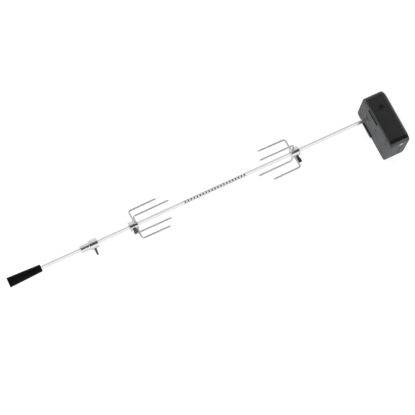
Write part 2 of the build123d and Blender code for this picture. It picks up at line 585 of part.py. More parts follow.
# ---------------------------------------------------------------- gear frame and motor
MOTOR_SCREW_R = 8.5          # motor screws, from the motor's axis
screw_way = (MOTOR_SCREW_R * sin(radians(MOTOR_ANGLE)), -MOTOR_SCREW_R * cos(radians(MOTOR_ANGLE)))
MOTOR_SCREWS = [
    (motor_axis[0] + side * screw_way[0], motor_axis[1] + side * screw_way[1]) for side in (-1, 1)
]
REAR_BUSH_D = 16.0
FRONT_PLATE_OUTLINE = ((30, -32), (30, 30), (14, 46), (-10, 51.4), (-26, 51.4), (-26, -32))
REAR_PLATE_OUTLINE = (
    (30, -32), (30, 30), (14, 43), (-10, 43), (-13, 52), (-46, 52), (-46, 28.2), (-25, 28.2), (-25, -32),
)
for name, station, outline, spindle_hole, axle_holes in (
    (
        "gear_front_plate", FRONT_PLATE, FRONT_PLATE_OUTLINE, BUSH_D,
        ((first_axle, AXLE_D), (second_axle, AXLE_D)),
    ),
    (
        "gear_rear_plate", REAR_PLATE, REAR_PLATE_OUTLINE, REAR_BUSH_D,
        ((first_axle, AXLE_D), (second_axle, 8.4), (motor_axis, 7.0)),
    ),
):
    with BuildPart() as plate:
        with BuildSketch(across(station)):
            with BuildLine():
                Polyline(*outline, close=True)
            make_face()
            Circle(spindle_hole / 2, mode=Mode.SUBTRACT)
            for place, diameter in axle_holes:
                with Locations(place):
                    Circle(diameter / 2, mode=Mode.SUBTRACT)
            with Locations(*POSTS):
                Circle(1.6, mode=Mode.SUBTRACT)
            if station == REAR_PLATE:
                with Locations(*MOTOR_SCREWS):
                    Circle(1.3, mode=Mode.SUBTRACT)
        extrude(amount=PLATE_T)
    save(plate, name)

with BuildPart() as gear_posts:
    with BuildSketch(across(FRONT_PLATE + PLATE_T)):
        with Locations(*POSTS):
            RegularPolygon(3.0, 6)
            Circle(1.5, mode=Mode.SUBTRACT)
    extrude(amount=REAR_PLATE - FRONT_PLATE - PLATE_T)
save(gear_posts, "gear_posts")

with BuildPart() as post_screws:
    for y, z in POSTS:
        for station, way in ((FRONT_PLATE, 1), (REAR_PLATE + PLATE_T, -1)):
            with BuildSketch(across(station, y, z)):
                Circle(2.6)
            extrude(amount=-way * 1.7)
            with BuildSketch(across(station, y, z)):
                Circle(1.45)
            extrude(amount=way * 8.0)
save(post_screws, "post_screws")

with BuildPart() as gear_axles:
    for place, end in ((first_axle, REAR_PLATE + PLATE_T), (second_axle, BOSS_STATION + 3.0)):
        with BuildSketch(across(FRONT_PLATE, *place)):
            Circle(AXLE_D / 2)
        extrude(amount=end - FRONT_PLATE)
save(gear_axles, "gear_axles")

with BuildPart() as front_bush:
    with BuildSketch(across(0)):
        Circle(BUSH_D / 2)
    extrude(amount=FRONT_PLATE + PLATE_T)
    with BuildSketch(across(0)):
        Circle(BUSH_FLANGE_D / 2)
    extrude(amount=-BUSH_FLANGE)
    fillet(faces().sort_by(Axis.X)[0].edges(), 0.4)
    with BuildSketch(across(-BUSH_FLANGE)):
        Circle(FRONT_BORE)
    extrude(amount=MOTOR_DEPTH, mode=Mode.SUBTRACT)
save(front_bush, "front_bush")

with BuildPart() as rear_bush:
    with BuildSketch(across(REAR_PLATE)):
        Circle(REAR_BUSH_D / 2)
    extrude(amount=PLATE_T)
    with BuildSketch(across(REAR_PLATE + PLATE_T)):
        Circle(REAR_BUSH_D / 2 + 1.5)
    extrude(amount=1.2)
    with BuildSketch(across(REAR_PLATE)):
        Circle(6.4 + RUNNING_FIT)
    extrude(amount=MOTOR_DEPTH, mode=Mode.SUBTRACT)
save(rear_bush, "rear_bush")

CAN_START = 7.0
with BuildPart() as geared_motor:
    with BuildSketch(across(CAN_START, *motor_axis)):
        Circle(MOTOR_CAN_D / 2)
    extrude(amount=REAR_PLATE - CAN_START)
    fillet(edges().filter_by(GeomType.CIRCLE).sort_by(Axis.X)[0], 1.5)
    with BuildSketch(across(REAR_PLATE - 9.0, *motor_axis)):
        Circle(MOTOR_CAN_D / 2)
        Circle(MOTOR_CAN_D / 2 - 0.5, mode=Mode.SUBTRACT)
    extrude(amount=0.8, mode=Mode.SUBTRACT)
    with BuildSketch(across(REAR_PLATE, *motor_axis)):
        Circle(SHAFT_D / 2 + RUNNING_FIT)
    extrude(amount=-NOSE_BORE, mode=Mode.SUBTRACT)
    with BuildSketch(across(REAR_PLATE)):
        with Locations(*MOTOR_SCREWS):
            Circle(1.25)
    extrude(amount=-4.0, mode=Mode.SUBTRACT)
    with BuildSketch(across(CAN_START, *motor_axis)):
        with Locations((-6.0, -3.0), (-6.0, 3.0)):
            Rectangle(0.8, 2.4)
    extrude(amount=-2.2)
save(geared_motor, "geared_motor")

with BuildPart() as motor_screws:
    for y, z in MOTOR_SCREWS:
        with BuildSketch(across(REAR_PLATE + PLATE_T, y, z)):
            Circle(2.2)
        extrude(amount=1.5)
        with BuildSketch(across(REAR_PLATE + PLATE_T, y, z)):
            Circle(1.2)
        extrude(amount=-5.0)
save(motor_screws, "motor_screws")

# ---------------------------------------------------------------- batteries
CRADLE_FRONT, CRADLE_BACK, CRADLE_LOW = CASE_WALL + 0.1, REAR_WALL - 0.1, 3.0 - ROD_HEIGHT
CRADLE_MIDDLE, CRADLE_MIDDLE_Z = (CRADLE_FRONT + CRADLE_BACK) / 2, (CRADLE_LOW + CRADLE_TOP) / 2
CRADLE_NOTCH_Y, CRADLE_NOTCH_Z = -80.0, 36.0         # corner that carries the upper cradle screw
DIVIDER_Y, DIVIDER_T, CRADLE_OPEN_Y = -29.0, 2.0, -93.5
with BuildPart() as battery_cradle:
    with BuildSketch(endwise(DIVIDER_Y - DIVIDER_T, CRADLE_MIDDLE, CRADLE_MIDDLE_Z)):
        Rectangle(CRADLE_BACK - CRADLE_FRONT, CRADLE_TOP - CRADLE_LOW)
        fillet(vertices().group_by(Axis.X)[-1], REAR_SIDE_R - CASE_WALL)
    extrude(amount=DIVIDER_T)
    with BuildSketch(across(CRADLE_FRONT)):
        with BuildLine():
            Polyline(
                (DIVIDER_Y, CRADLE_LOW), (DIVIDER_Y, CRADLE_TOP), (CRADLE_NOTCH_Y, CRADLE_TOP),
                (CRADLE_NOTCH_Y, CRADLE_NOTCH_Z), (CRADLE_OPEN_Y, CRADLE_NOTCH_Z),
                (CRADLE_OPEN_Y, CRADLE_LOW), close=True,
            )
        make_face()
    extrude(amount=2.0)
    with BuildSketch(across(CRADLE_FRONT)):
        with Locations(*CRADLE_SCREWS):
            Circle(3.2)
    extrude(amount=8.4)
    with BuildSketch(endwise(CRADLE_OPEN_Y, CELL_STATION + 11.5, CRADLE_MIDDLE_Z)):
        Rectangle(8.0, CRADLE_TOP - CRADLE_LOW - 26.0)
    extrude(amount=DIVIDER_Y - DIVIDER_T - CRADLE_OPEN_Y)
    for z in CELL_Z:
        with BuildSketch(endwise(CRADLE_OPEN_Y, CELL_STATION, z)):
            Circle(CELL_D / 2 + 0.3)
        extrude(amount=DIVIDER_Y - DIVIDER_T - CRADLE_OPEN_Y, mode=Mode.SUBTRACT)
    with BuildSketch(across(CRADLE_FRONT)):
        with Locations(*CRADLE_SCREWS):
            Circle(SCREW_SHANK_D / 2)
    extrude(amount=8.4, mode=Mode.SUBTRACT)
    for z in CELL_Z:
        with BuildSketch(endwise(DIVIDER_Y - DIVIDER_T, CELL_STATION, z)):
            Rectangle(3.0, 0.8)
        extrude(amount=DIVIDER_T, mode=Mode.SUBTRACT)
save(battery_cradle, "battery_cradle")

for name, z, way in (("lower_cell", CELL_Z[0], 1), ("upper_cell", CELL_Z[1], -1)):
    flat_end = CELL_START - (CELL_NUB if way > 0 else 0)
    nub_face = flat_end if way > 0 else flat_end - CELL_LENGTH
    with BuildPart() as cell:
        with BuildSketch(endwise(flat_end, CELL_STATION, z)):
            Circle(CELL_D / 2)
        extrude(amount=-CELL_LENGTH)
        fillet(edges().filter_by(GeomType.CIRCLE), 1.0)
        with BuildSketch(endwise(nub_face, CELL_STATION, z)):
            Circle(CELL_NUB_D / 2)
        extrude(amount=way * CELL_NUB)
    save(cell, name)

with BuildPart() as cell_terminals:
    for z in CELL_Z:
        with BuildSketch(endwise(CELL_START, CELL_STATION, z)):
            Rectangle(14.0, 14.0)
        extrude(amount=DIVIDER_Y - DIVIDER_T - CELL_START)
        with BuildSketch(endwise(DIVIDER_Y - DIVIDER_T, CELL_STATION, z)):
            Rectangle(3.0, 0.8)
        extrude(amount=DIVIDER_T + 2.6)
save(cell_terminals, "cell_terminals")

CONTACT_Y, CONTACT_T, COIL_WIRE_R = CAP_LINE - 1.6, 0.5, 0.55
CELL_BACK = {z: CELL_START - CELL_LENGTH - CELL_NUB for z in CELL_Z}
with BuildPart() as cap_contact:
    with BuildSketch(endwise(CONTACT_Y, CELL_STATION, sum(CELL_Z) / 2)):
        RectangleRounded(18.0, CELL_Z[1] - CELL_Z[0] + 18.0, 3.0)
    extrude(amount=CONTACT_T)
    for z in CELL_Z:
        gap = CELL_BACK[z] - CONTACT_Y - CONTACT_T
        rings = ceil(gap / (2.2 * COIL_WIRE_R))
        for ring in range(rings):
            with BuildSketch(endwise(CONTACT_Y + CONTACT_T + gap * ring / rings, CELL_STATION, z)):
                Circle(7.0 - 3.2 * ring / rings)
                Circle(5.8 - 3.2 * ring / rings, mode=Mode.SUBTRACT)
            extrude(amount=gap / rings)
save(cap_contact, "cap_contact")

# ---------------------------------------------------------------- power switch
TOP = SWITCH_PLANE_Z
PIVOT_Z = TOP - 1.2
with BuildPart() as switch_body:
    with BuildSketch(upright(TOP, SWITCH_STATION, SWITCH_Y)):
        Circle(SWITCH_BEZEL_D / 2)
    extrude(amount=SWITCH_BEZEL)
    fillet(faces().sort_by(Axis.Z)[-1].edges(), 0.6)
    with BuildSketch(upright(TOP, SWITCH_STATION, SWITCH_Y)):
        Circle(SWITCH_D / 2)
    extrude(amount=-SWITCH_DEPTH)
    with BuildSketch(upright(TOP + SWITCH_BEZEL, SWITCH_STATION, SWITCH_Y)):
        RectangleRounded(ROCKER_WIDTH + 0.7, ROCKER_LENGTH + 1.5, 0.6)
    extrude(amount=-8.0, mode=Mode.SUBTRACT)
    with BuildSketch(across(SWITCH_STATION, SWITCH_Y, PIVOT_Z)):
        Circle(0.8 + RUNNING_FIT)
    extrude(amount=ROCKER_WIDTH / 2 + 1.0, both=True, mode=Mode.SUBTRACT)
save(switch_body, "switch_body")

rocker_face = Plane(
    across(SWITCH_STATION, SWITCH_Y, PIVOT_Z).origin,
    x_dir=(0, cos(radians(ROCKER_TILT)), sin(radians(ROCKER_TILT))), z_dir=(1, 0, 0),
)
with BuildPart() as switch_rocker:
    with BuildSketch(rocker_face):
        with BuildLine():
            Polyline(
                (-ROCKER_LENGTH / 2, -2.2), (-ROCKER_LENGTH / 2, 3.4), (0, 2.6), (ROCKER_LENGTH / 2, 3.4),
                (ROCKER_LENGTH / 2, -2.2), (0, -3.4), close=True,
            )
        make_face()
    extrude(amount=ROCKER_WIDTH / 2, both=True)
    fillet(edges().filter_by(Axis.X).group_by(Axis.Z)[-1], 0.4)
    with BuildSketch(rocker_face):
        Circle(0.8)
    extrude(amount=ROCKER_WIDTH / 2 + 0.8, both=True)
save(switch_rocker, "switch_rocker")

# ---------------------------------------------------------------- internal leads
LEAD_D = 1.8
SOLDER_GAP = 0.35            # keeps a slanting lead's end clear of the switch's foot


def lead(name, points):
    """Insulated lead along straight runs with the largest arcs that the runs allow."""
    runs = [Vector(*b) - Vector(*a) for a, b in zip(points, points[1:])]
    radii = []
    for before, after in zip(runs, runs[1:]):
        half_turn = radians(before.get_angle(after)) / 2
        radii.append(0.45 * min(before.length, after.length) / tan(half_turn))
    places = [Vector(DRIVE_X + s, AXIS_Y + y, ROD_HEIGHT + z) for s, y, z in points]
    with BuildPart() as wire:
        with BuildLine() as route:
            FilletPolyline(*places, radius=radii)
        with BuildSketch(Plane(places[0], z_dir=places[1] - places[0])):
            Circle(LEAD_D / 2)
        sweep(path=route.line)
    save(wire, name)


TERMINAL_Y = motor_axis[0] - 6.0
SWITCH_FOOT = TOP - SWITCH_DEPTH
lead("lead_cell_to_switch", (
    (29.5, -25.4, -26.0), (28.4, -25.0, -14.0), (27.6, -24.2, 0.0), (27.0, -18.0, 14.0), (28.0, -7.0, 25.0),
    (31.2, -4.0, 35.0), (31.2, -4.0, SWITCH_FOOT),
))
lead("lead_cell_to_motor", (
    (31.5, -25.4, 9.0), (25.0, -26.0, 14.0), (14.0, -27.2, 17.0), (7.0, -27.9, 21.5), (5.9, -28.1, 28.2),
    (5.2, -33.0, 30.6), (5.6, TERMINAL_Y, motor_axis[1] - 4.3),
))
lead("lead_switch_to_motor", (
    (27.6, 0.5, SWITCH_FOOT - SOLDER_GAP), (26.6, -1.0, 40.6), (23.0, -6.0, 41.0), (19.5, -10.5, 46.0),
    (14.0, -14.5, 53.4), (6.0, -21.5, 53.4), (5.2, -30.0, 52.4), (5.4, -36.5, 48.8),
    (5.6, TERMINAL_Y, motor_axis[1] + 4.3),
))
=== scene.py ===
import json
import math

import bmesh
import bpy
from mathutils import Matrix, Vector, noise


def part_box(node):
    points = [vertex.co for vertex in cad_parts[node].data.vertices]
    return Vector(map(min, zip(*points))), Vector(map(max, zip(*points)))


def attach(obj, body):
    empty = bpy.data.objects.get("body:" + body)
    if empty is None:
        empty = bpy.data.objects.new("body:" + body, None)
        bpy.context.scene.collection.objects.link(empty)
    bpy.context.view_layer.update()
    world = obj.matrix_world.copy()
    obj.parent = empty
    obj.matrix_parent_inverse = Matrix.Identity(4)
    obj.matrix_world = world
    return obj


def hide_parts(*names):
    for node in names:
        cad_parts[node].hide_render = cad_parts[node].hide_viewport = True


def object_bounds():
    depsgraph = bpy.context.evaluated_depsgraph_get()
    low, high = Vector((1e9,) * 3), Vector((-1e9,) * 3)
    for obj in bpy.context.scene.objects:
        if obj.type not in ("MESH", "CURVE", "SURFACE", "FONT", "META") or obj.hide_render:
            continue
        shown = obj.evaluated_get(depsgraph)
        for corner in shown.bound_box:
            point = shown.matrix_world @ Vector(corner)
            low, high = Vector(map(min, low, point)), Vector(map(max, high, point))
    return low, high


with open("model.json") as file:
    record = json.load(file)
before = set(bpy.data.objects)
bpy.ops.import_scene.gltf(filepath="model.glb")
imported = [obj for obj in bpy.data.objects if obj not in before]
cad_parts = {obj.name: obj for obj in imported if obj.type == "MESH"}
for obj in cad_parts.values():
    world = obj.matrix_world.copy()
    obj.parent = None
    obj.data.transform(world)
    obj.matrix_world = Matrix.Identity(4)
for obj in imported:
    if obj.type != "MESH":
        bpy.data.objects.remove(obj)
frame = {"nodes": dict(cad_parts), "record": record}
cad_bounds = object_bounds()

# A battery-driven rotisserie kit lying on a pale floor. The square spit runs along X into the motor unit,
# and carries a handle, a bushing collar and two four-prong forks. "Station" is a distance along +X from
# the motor's drive face, and "arm angle" turns about the spit's axis, from +Y towards +Z, in degrees.

# ---------------------------------------------------------------- places, from the frame
MM = 0.001
DRIVE_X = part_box("front_housing")[0].x
AXIS_Y, AXIS_Z = ((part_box("drive_spindle")[0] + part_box("drive_spindle")[1]) / 2).yz


def station_of(node, end):
    """Station of a CAD node's low (0) or high (1) end."""
    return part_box(node)[end].x - DRIVE_X


def half_width(node):
    """Half of a CAD node's extent along Y."""
    return (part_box(node)[1].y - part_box(node)[0].y) / 2


def spot(station, r=0.0, angle=0.0):
    """Point r out from the spit's axis, at an arm angle."""
    a = math.radians(angle)
    return Vector((DRIVE_X + station, AXIS_Y + r * math.cos(a), AXIS_Z + r * math.sin(a)))


# ---------------------------------------------------------------- sizes
BAR, BAR_CORNER, BAR_PHASE = 8.0 * MM, 0.8 * MM, 34.0
HOLE = BAR + 0.3 * MM
TANG_R, TANG_LENGTH = 3.0 * MM, 22.0 * MM
BAR_END_CHAMFER = 1.2 * MM
TWIST_START, TWIST_QUARTER, TWIST_QUARTERS = -534.0 * MM, 8.5 * MM, 21
TWIST_EASE = 0.012           # share of the twist over which it winds up at each end
INSERT_R, INSERT_LENGTH, BAR_IN_HANDLE = 5.0 * MM, 26.0 * MM, 14.0 * MM

SCREW_R, SCREW_PITCH, THREAD_DEPTH = 2.9 * MM, 1.0 * MM, 0.4 * MM
SCREW_CLEARANCE, SCREW_TIP_GAP = 0.05 * MM, 0.1 * MM
HOLE_BREAK, HOLE_BREAK_DEPTH, DRILL_PAST = 0.35 * MM, 0.1 * MM, 2 * MM
BORE_CORNER, BORE_MOUTH, MOUTH_CORNER = 0.4 * MM, 0.4 * MM, 0.5 * MM
NECK_GAP, NECK_R, NECK_HEIGHT = 0.5 * MM, 4.3 * MM, 2.2 * MM

PRONG_CIRCLE_R, WIRE_R, WIRE_BEND_R = 44.0 * MM, 2.5 * MM, 6.0 * MM
PRONG_SPLAY, PRONG_POINT, PRONG_SEAT_R = 0.7, 6.0 * MM, 7.2 * MM
PRONG_OFFSET = 3.0           # degrees that the prongs stand off the bar's corners
SHORT_PRONG, LONG_PRONG, WIRE_INSET = 79.5 * MM, 98.5 * MM, 5.5 * MM
HUB_R = half_width("left_fork_hub")
HUB_SCREW_INSET, PADDLE_HEIGHT = 13.3 * MM, 17.5 * MM

CASE_DEPTH = station_of("rear_housing", 1)
CASE_LENGTH, CASE_WIDTH = 2 * half_width("front_housing"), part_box("front_housing")[1].z
CASE_WALL, CORNER_R, FRONT_EDGE_R = 2.5 * MM, 9.0 * MM, 2.2 * MM
REAR_SIDE_R, REAR_END_R = 15.0 * MM, 10.0 * MM
SEAM, SEAM_GAP, SEAM_BREAK = station_of("front_housing", 1), 0.12 * MM, 0.35 * MM
SEAL_LINE, CAP_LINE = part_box("rear_housing")[0].y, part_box("battery_cap")[1].y
CASE_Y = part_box("front_housing")[0].y + CASE_LENGTH / 2
CASE_Z = CASE_WIDTH / 2
BUSH_SEAT_R, SWITCH_HOLE_R = 10.0 * MM, 6.3 * MM
CASE_SCREW_HOLE_R, CASE_SCREW_HOLE_DEPTH = 3.5 * MM, 1.0 * MM
CAP_SCREW_HOLE_R, CAP_SCREW_HOLE_DEPTH = 5.8 * MM, 1.6 * MM
FINGER_SLOT_HALF, FINGER_SLOT_R, FINGER_SLOT_DEPTH, FINGER_SLOT_DROP = 13.0 * MM, 4.5 * MM, 1.1 * MM, 6.0 * MM
MERGE_DISTANCE = 0.002 * MM


# ---------------------------------------------------------------- mesh tools
def skin(bm, rings, looped=False):
    """Skins rings of points, all of one count. The ends are capped, unless the rings loop round."""
    loops = [[bm.verts.new(point) for point in ring] for ring in rings]
    pairs = list(zip(loops, loops[1:]))
    if looped:
        pairs.append((loops[-1], loops[0]))
    else:
        bm.faces.new(reversed(loops[0]))
        bm.faces.new(loops[-1])
    for one, two in pairs:
        for i in range(len(one)):
            j = (i + 1) % len(one)
            bm.faces.new((one[i], one[j], two[j], two[i]))


def add_object(name, bm):
    bmesh.ops.recalc_face_normals(bm, faces=bm.faces)
    mesh = bpy.data.meshes.new(name)
    bm.to_mesh(mesh)
    bm.free()
    obj = bpy.data.objects.new(name, mesh)
    bpy.context.scene.collection.objects.link(obj)
    return obj


def take_modifiers(obj):
    """Makes what an object's modifiers give its own mesh."""
    evaluated = obj.evaluated_get(bpy.context.evaluated_depsgraph_get())
    mesh = bpy.data.meshes.new_from_object(evaluated)
    obj.modifiers.clear()
    obj.data = mesh


def finish_piece(obj, body, slot, replaces=(), sharp=32.0):
    """Shades a piece smooth up to an edge angle, gives it a material, and makes it ride on its body."""
    obj.data.polygons.foreach_set("use_smooth", [True] * len(obj.data.polygons))
    obj.data.set_sharp_from_angle(angle=math.radians(sharp))
    obj.modifiers.new("flat_faces_stay_flat", "WEIGHTED_NORMAL").keep_sharp = True
    take_modifiers(obj)
    obj.data.materials.clear()
    obj.data.materials.append(MATERIALS[slot])
    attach(obj, body)
    if replaces:
        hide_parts(*replaces)
    return obj


def square_r(half, corner):
    """Distance from the spit's axis to a rounded square, as a function of arm angle."""
    k = half - corner

    def r(angle):
        folded = abs((angle - BAR_PHASE + 45) % 90 - 45)
        a = math.radians(folded)
        if math.tan(a) <= k / half:
            return half / math.cos(a)
        reach = k * (math.cos(a) + math.sin(a))
        return reach + math.sqrt(max(reach * reach - 2 * k * k + corner * corner, 0.0))

    return r


def turned(bm, profile, sides=96, looped=False, place=spot):
    """Turns a profile of (station, r) about the spit. An r may be a function of arm angle."""
    rings = []
    for station, r in profile:
        ring = []
        for i in range(sides):
            angle = BAR_PHASE + 360.0 * i / sides
            ring.append(place(station, r(angle) if callable(r) else r, angle))
        rings.append(ring)
    skin(bm, rings, looped)


def rounded_edge(corner, radius, way_in, way_out, steps=4):
    """Profile points round a right-angled corner, from way_in to way_out, which are (station, r) signs."""
    points = []
    for step in range(steps + 1):
        a = math.pi / 2 * step / steps
        back, on = radius * (1 - math.sin(a)), radius * (1 - math.cos(a))
        points.append((
            corner[0] - way_in[0] * back + way_out[0] * on,
            corner[1] - way_in[1] * back + way_out[1] * on,
        ))
    return points


def tube(bm, centres, radii, side, sides=20):
    """Round bar along centres that lie in one plane, whose normal is side."""
    rings = []
    for i, centre in enumerate(centres):
        along = (centres[min(i + 1, len(centres) - 1)] - centres[max(i - 1, 0)]).normalized()
        lift = along.cross(side)
        ring = []
        for k in range(sides):
            a = 2 * math.pi * k / sides
            ring.append(centre + radii[i] * (side * math.cos(a) + lift * math.sin(a)))
        rings.append(ring)
    skin(bm, rings)


def rod_between(bm, start, end, r, flare=0.0, flare_at=0.0, sides=48):
    """Cutter for a drilled hole, with a flare of extra radius at its end to break the hole's edge."""
    along = (end - start).normalized()
    side = along.orthogonal().normalized()
    length = (end - start).length
    stops = [0.0, flare_at - flare, flare_at + flare, length] if flare else [0.0, length]
    radii = [r, r, r + 2 * flare, r + 2 * flare] if flare else [r, r]
    tube(bm, [start + along * s for s in stops], radii, side, sides)


def cut(obj, bm):
    """Cuts the solids in bm out of obj."""
    cutter = add_object("cutter", bm)
    modifier = obj.modifiers.new("cut", "BOOLEAN")
    modifier.operation = "DIFFERENCE"
    modifier.solver = "EXACT"
    modifier.object = cutter
    take_modifiers(obj)
    bpy.data.objects.remove(cutter)
    return obj


def box_into(bm, low, high):
    """Closed box between two corners."""
    made = bmesh.ops.create_cube(bm, size=1.0)["verts"]
    bmesh.ops.scale(bm, vec=high - low, verts=made)
    bmesh.ops.translate(bm, vec=(low + high) / 2, verts=made)


def soften(bm, edges, width, segments=2):
    bmesh.ops.bevel(
        bm, geom=edges, offset=width, offset_type="OFFSET", segments=segments, profile=0.6,
        affect="EDGES", clamp_overlap=True,
    )


def refined(node, body, slot, width, sharp=32.0):
    """A CAD node's shape with its flat faces made whole and its corners rounded off, as a new piece."""
    bm = bmesh.new()
    bm.from_mesh(frame["nodes"][node].data)
    bmesh.ops.remove_doubles(bm, verts=bm.verts, dist=MERGE_DISTANCE)
    bmesh.ops.dissolve_limit(
        bm, angle_limit=math.radians(1.0), verts=bm.verts, edges=bm.edges, use_dissolve_boundaries=False
    )
    crisp = [e for e in bm.edges if e.is_manifold and e.calc_face_angle() > math.radians(40)]
    soften(bm, crisp, width)
    obj = add_object(node + "_piece", bm)
    return finish_piece(obj, body, slot, [node], sharp)


# ---------------------------------------------------------------- materials
def tree_of(name):
    """New material: its node tree and its shader node."""
    material = bpy.data.materials.new(name)
    material.use_nodes = True
    return material, material.node_tree, material.node_tree.nodes["Principled BSDF"]


def add_node(tree, kind, **values):
    """New node, its settings and sockets set by name."""
    made = tree.nodes.new(kind)
    for name, value in values.items():
        if hasattr(made, name):
            setattr(made, name, value)
        else:
            made.inputs[name.replace("_", " ").title()].default_value = value
    return made


def stretched(tree, scale):
    """Object coordinates, stretched by a scale for each axis."""
    place = add_node(tree, "ShaderNodeTexCoord")
    mapping = add_node(tree, "ShaderNodeMapping", scale=scale)
    tree.links.new(place.outputs["Object"], mapping.inputs["Vector"])
    return mapping.outputs["Vector"]


def grain(tree, scale, stretch=(1, 1, 1), detail=3.0):
    """Noise with about scale cells for each metre."""
    made = add_node(tree, "ShaderNodeTexNoise", scale=scale, detail=detail, roughness=0.55)
    tree.links.new(stretched(tree, stretch), made.inputs["Vector"])
    return made.outputs["Fac"]


def ranged(tree, source, low, high, start=0.3, end=0.7):
    made = add_node(tree, "ShaderNodeMapRange", from_min=start, from_max=end, to_min=low, to_max=high)
    tree.links.new(source, made.inputs["Value"])
    return made.outputs["Result"]


def blended(tree, source, one, two, start=0.35, end=0.65):
    """Colour between one and two by a source value."""
    ramp = add_node(tree, "ShaderNodeValToRGB")
    ramp.color_ramp.elements[0].position = start
    ramp.color_ramp.elements[1].position = end
    ramp.color_ramp.elements[0].color = (*one, 1)
    ramp.color_ramp.elements[1].color = (*two, 1)
    tree.links.new(source, ramp.inputs["Fac"])
    return ramp.outputs["Color"]


def raised(tree, shader, layers):
    """Bump from (height source, depth in metres) layers."""
    before = None
    for source, depth in layers:
        bump = add_node(tree, "ShaderNodeBump", distance=depth)
        bump.inputs["Strength"].default_value = 1.0
        tree.links.new(source, bump.inputs["Height"])
        if before:
            tree.links.new(before, bump.inputs["Normal"])
        before = bump.outputs["Normal"]
    tree.links.new(before, shader.inputs["Normal"])


def metal(name, colour, roughness, stretch, depth, tint=0.06, scale=900.0):
    """Bare or plated metal: fine lines along one way, cloudy polish, and a few faint rubs."""
    material, tree, shader = tree_of(name)
    shader.inputs["Metallic"].default_value = 1.0
    lines = grain(tree, scale, stretch, detail=4.0)
    clouds = grain(tree, 45.0, detail=2.0)
    darker = tuple(c * (1 - tint) for c in colour)
    tree.links.new(blended(tree, clouds, darker, colour), shader.inputs["Base Color"])
    mixed = add_node(tree, "ShaderNodeMath", operation="MULTIPLY")
    tree.links.new(ranged(tree, lines, 0.8, 1.25), mixed.inputs[0])
    tree.links.new(ranged(tree, clouds, roughness * 0.8, roughness * 1.2), mixed.inputs[1])
    tree.links.new(mixed.outputs["Value"], shader.inputs["Roughness"])
    raised(tree, shader, [(lines, depth)])
    return material


def moulded(name, colour, roughness, depth, cell, lift=0.25, coat=0.0, specular=0.5):
    """Moulded plastic or rubber: fine sparked texture, slow changes of shade, and light handling marks."""
    material, tree, shader = tree_of(name)
    texture = grain(tree, 1.0 / cell, detail=5.0)
    clouds = grain(tree, 30.0, detail=3.0)
    lighter = tuple(c * (1 + lift) + 0.001 for c in colour)
    tree.links.new(blended(tree, clouds, colour, lighter), shader.inputs["Base Color"])
    tree.links.new(ranged(tree, clouds, roughness * 0.9, roughness * 1.1), shader.inputs["Roughness"])
    shader.inputs["Coat Weight"].default_value = coat
    shader.inputs["Specular IOR Level"].default_value = specular
    raised(tree, shader, [(texture, depth)])
    return material


def painted_cell(name):
    """Battery jacket: printed film with a copper-coloured end band, plain and unlettered."""
    material, tree, shader = tree_of(name)
    place = add_node(tree, "ShaderNodeTexCoord")
    split = add_node(tree, "ShaderNodeSeparateXYZ")
    tree.links.new(place.outputs["Object"], split.inputs["Vector"])
    low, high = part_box("lower_cell")
    band = low.y + 0.3 * (high.y - low.y)
    step = ranged(tree, split.outputs["Y"], 0.0, 1.0, band, band + 0.3 * MM)
    tree.links.new(blended(tree, step, (0.5, 0.22, 0.07), (0.02, 0.02, 0.022)), shader.inputs["Base Color"])
    shader.inputs["Metallic"].default_value = 0.6
    clouds = grain(tree, 60.0)
    tree.links.new(ranged(tree, clouds, 0.22, 0.34), shader.inputs["Roughness"])
    raised(tree, shader, [(grain(tree, 400.0), 0.01 * MM)])
    return material


ALONG_X, AROUND_X = (0.03, 1.0, 1.0), (1.0, 0.06, 0.06)
MATERIALS = {
    "chrome": metal("chrome", (0.56, 0.56, 0.565), 0.16, ALONG_X, 0.003 * MM),
    "plated_wire": metal("plated_wire", (0.52, 0.52, 0.525), 0.34, ALONG_X, 0.004 * MM, tint=0.1),
    "dark_steel": metal("dark_steel", (0.10, 0.10, 0.105), 0.4, AROUND_X, 0.004 * MM, tint=0.2),
    "handle_plastic": moulded(
        "handle_plastic", (0.002, 0.002, 0.002), 0.6, 0.012 * MM, 0.35 * MM, specular=0.06
    ),
    "drive_face_plastic": moulded(
        "drive_face_plastic", (0.055, 0.056, 0.058), 0.66, 0.05 * MM, 0.55 * MM, lift=0.5, specular=0.3
    ),
    "dark_plastic": moulded("dark_plastic", (0.010, 0.010, 0.011), 0.34, 0.006 * MM, 0.8 * MM),
    "seal_rubber": moulded("seal_rubber", (0.004, 0.004, 0.004), 0.8, 0.02 * MM, 0.3 * MM, specular=0.25),
    "black_steel": moulded("black_steel", (0.008, 0.008, 0.008), 0.42, 0.02 * MM, 0.7 * MM),
    "zinc_steel": metal("zinc_steel", (0.62, 0.62, 0.60), 0.3, (1, 1, 1), 0.006 * MM, tint=0.15),
    "bronze": metal("bronze", (0.45, 0.31, 0.16), 0.38, AROUND_X, 0.004 * MM, tint=0.2),
    "brass": metal("brass", (0.72, 0.53, 0.24), 0.28, AROUND_X, 0.004 * MM, tint=0.12),
    "gear_plastic": moulded("gear_plastic", (0.62, 0.60, 0.52), 0.38, 0.004 * MM, 0.6 * MM, lift=0.06),
    "motor_can": metal("motor_can", (0.52, 0.52, 0.53), 0.33, ALONG_X, 0.004 * MM, tint=0.1),
    "cradle_plastic": moulded("cradle_plastic", (0.014, 0.014, 0.015), 0.5, 0.01 * MM, 0.5 * MM),
    "cell_jacket": painted_cell("cell_jacket"),
    "contact_metal": metal("contact_metal", (0.74, 0.72, 0.66), 0.25, (1, 1, 1), 0.003 * MM, tint=0.1),
    "switch_plastic": moulded("switch_plastic", (0.005, 0.005, 0.005), 0.28, 0.004 * MM, 0.5 * MM),
    "lead_red": moulded("lead_red", (0.36, 0.015, 0.012), 0.42, 0.006 * MM, 0.5 * MM),
    "lead_black": moulded("lead_black", (0.01, 0.01, 0.01), 0.42, 0.006 * MM, 0.5 * MM),
}
